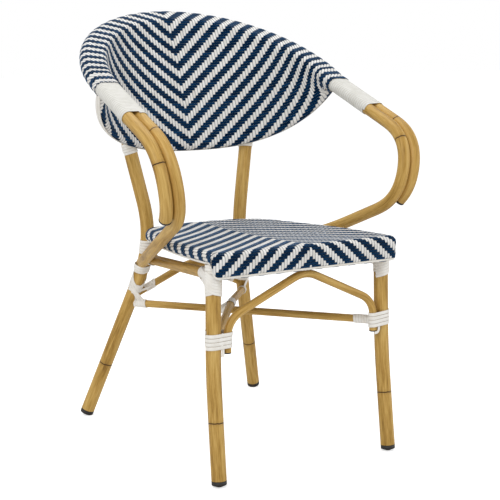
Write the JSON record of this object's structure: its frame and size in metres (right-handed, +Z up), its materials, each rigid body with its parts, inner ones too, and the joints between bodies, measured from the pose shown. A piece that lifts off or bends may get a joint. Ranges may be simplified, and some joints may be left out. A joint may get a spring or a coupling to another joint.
{
  "type": "rattan bistro chair",
  "caption": "Stacking bistro armchair: bent bamboo-look tubes, round back hoop running into looped arms, chevron-woven seat and back, strip-wound joints.",
  "frame": {"origin": "on the floor, under the centre of the bounding box", "axes": "+Z up, the chair faces -Y, and the seat is even about the plane x = 0"},
  "size_m": [0.6358, 0.6022, 0.9193],
  "materials": {
    "tube_paint": "satin, bamboo look",
    "woven_strand": "woven, two colours",
    "white_strip": "satin",
    "end_plug": "moulded",
    "foot_plug": "moulded"
  },
  "bodies": {
    "root": {"front_foot_cap_left": "foot_plug", "front_leg_left": "tube_paint", "front_foot_cap_right": "foot_plug", "front_leg_right": "tube_paint", "rear_foot_cap_left": "foot_plug", "rear_leg_left": "tube_paint", "rear_foot_cap_right": "foot_plug", "rear_leg_right": "tube_paint", "inner_hoop_tube": "tube_paint", "outer_hoop_tube": "tube_paint", "arm_end_cap_left": "end_plug", "arm_end_cap_right": "end_plug", "back_lower_rim": "tube_paint", "hoop_weave": "woven_strand", "arm_wrap_left": "white_strip", "arm_wrap_right": "white_strip", "back_weave": "woven_strand", "seat_tube": "tube_paint", "apron_rail": "tube_paint", "seat_weave": "woven_strand", "side_rail_left": "tube_paint", "side_rail_right": "tube_paint", "rear_rail": "tube_paint", "front_brace": "tube_paint", "brace_cap_left": "end_plug", "brace_cap_right": "end_plug", "rear_brace": "tube_paint", "brace_lashing_left": "white_strip", "front_leg_wrap_left": "white_strip", "brace_lashing_right": "white_strip", "front_leg_wrap_right": "white_strip", "rear_joint_wrap_left": "white_strip", "post_wrap_left": "white_strip", "rear_joint_wrap_right": "white_strip", "post_wrap_right": "white_strip", "stretcher_straight": "tube_paint", "stretcher_straight_front_wrap": "white_strip", "stretcher_straight_rear_wrap": "white_strip", "stretcher_arched": "tube_paint", "stretcher_arched_front_wrap": "white_strip", "stretcher_arched_rear_wrap": "white_strip", "cross_lashing": "white_strip"}
  },
  "joints": []
}
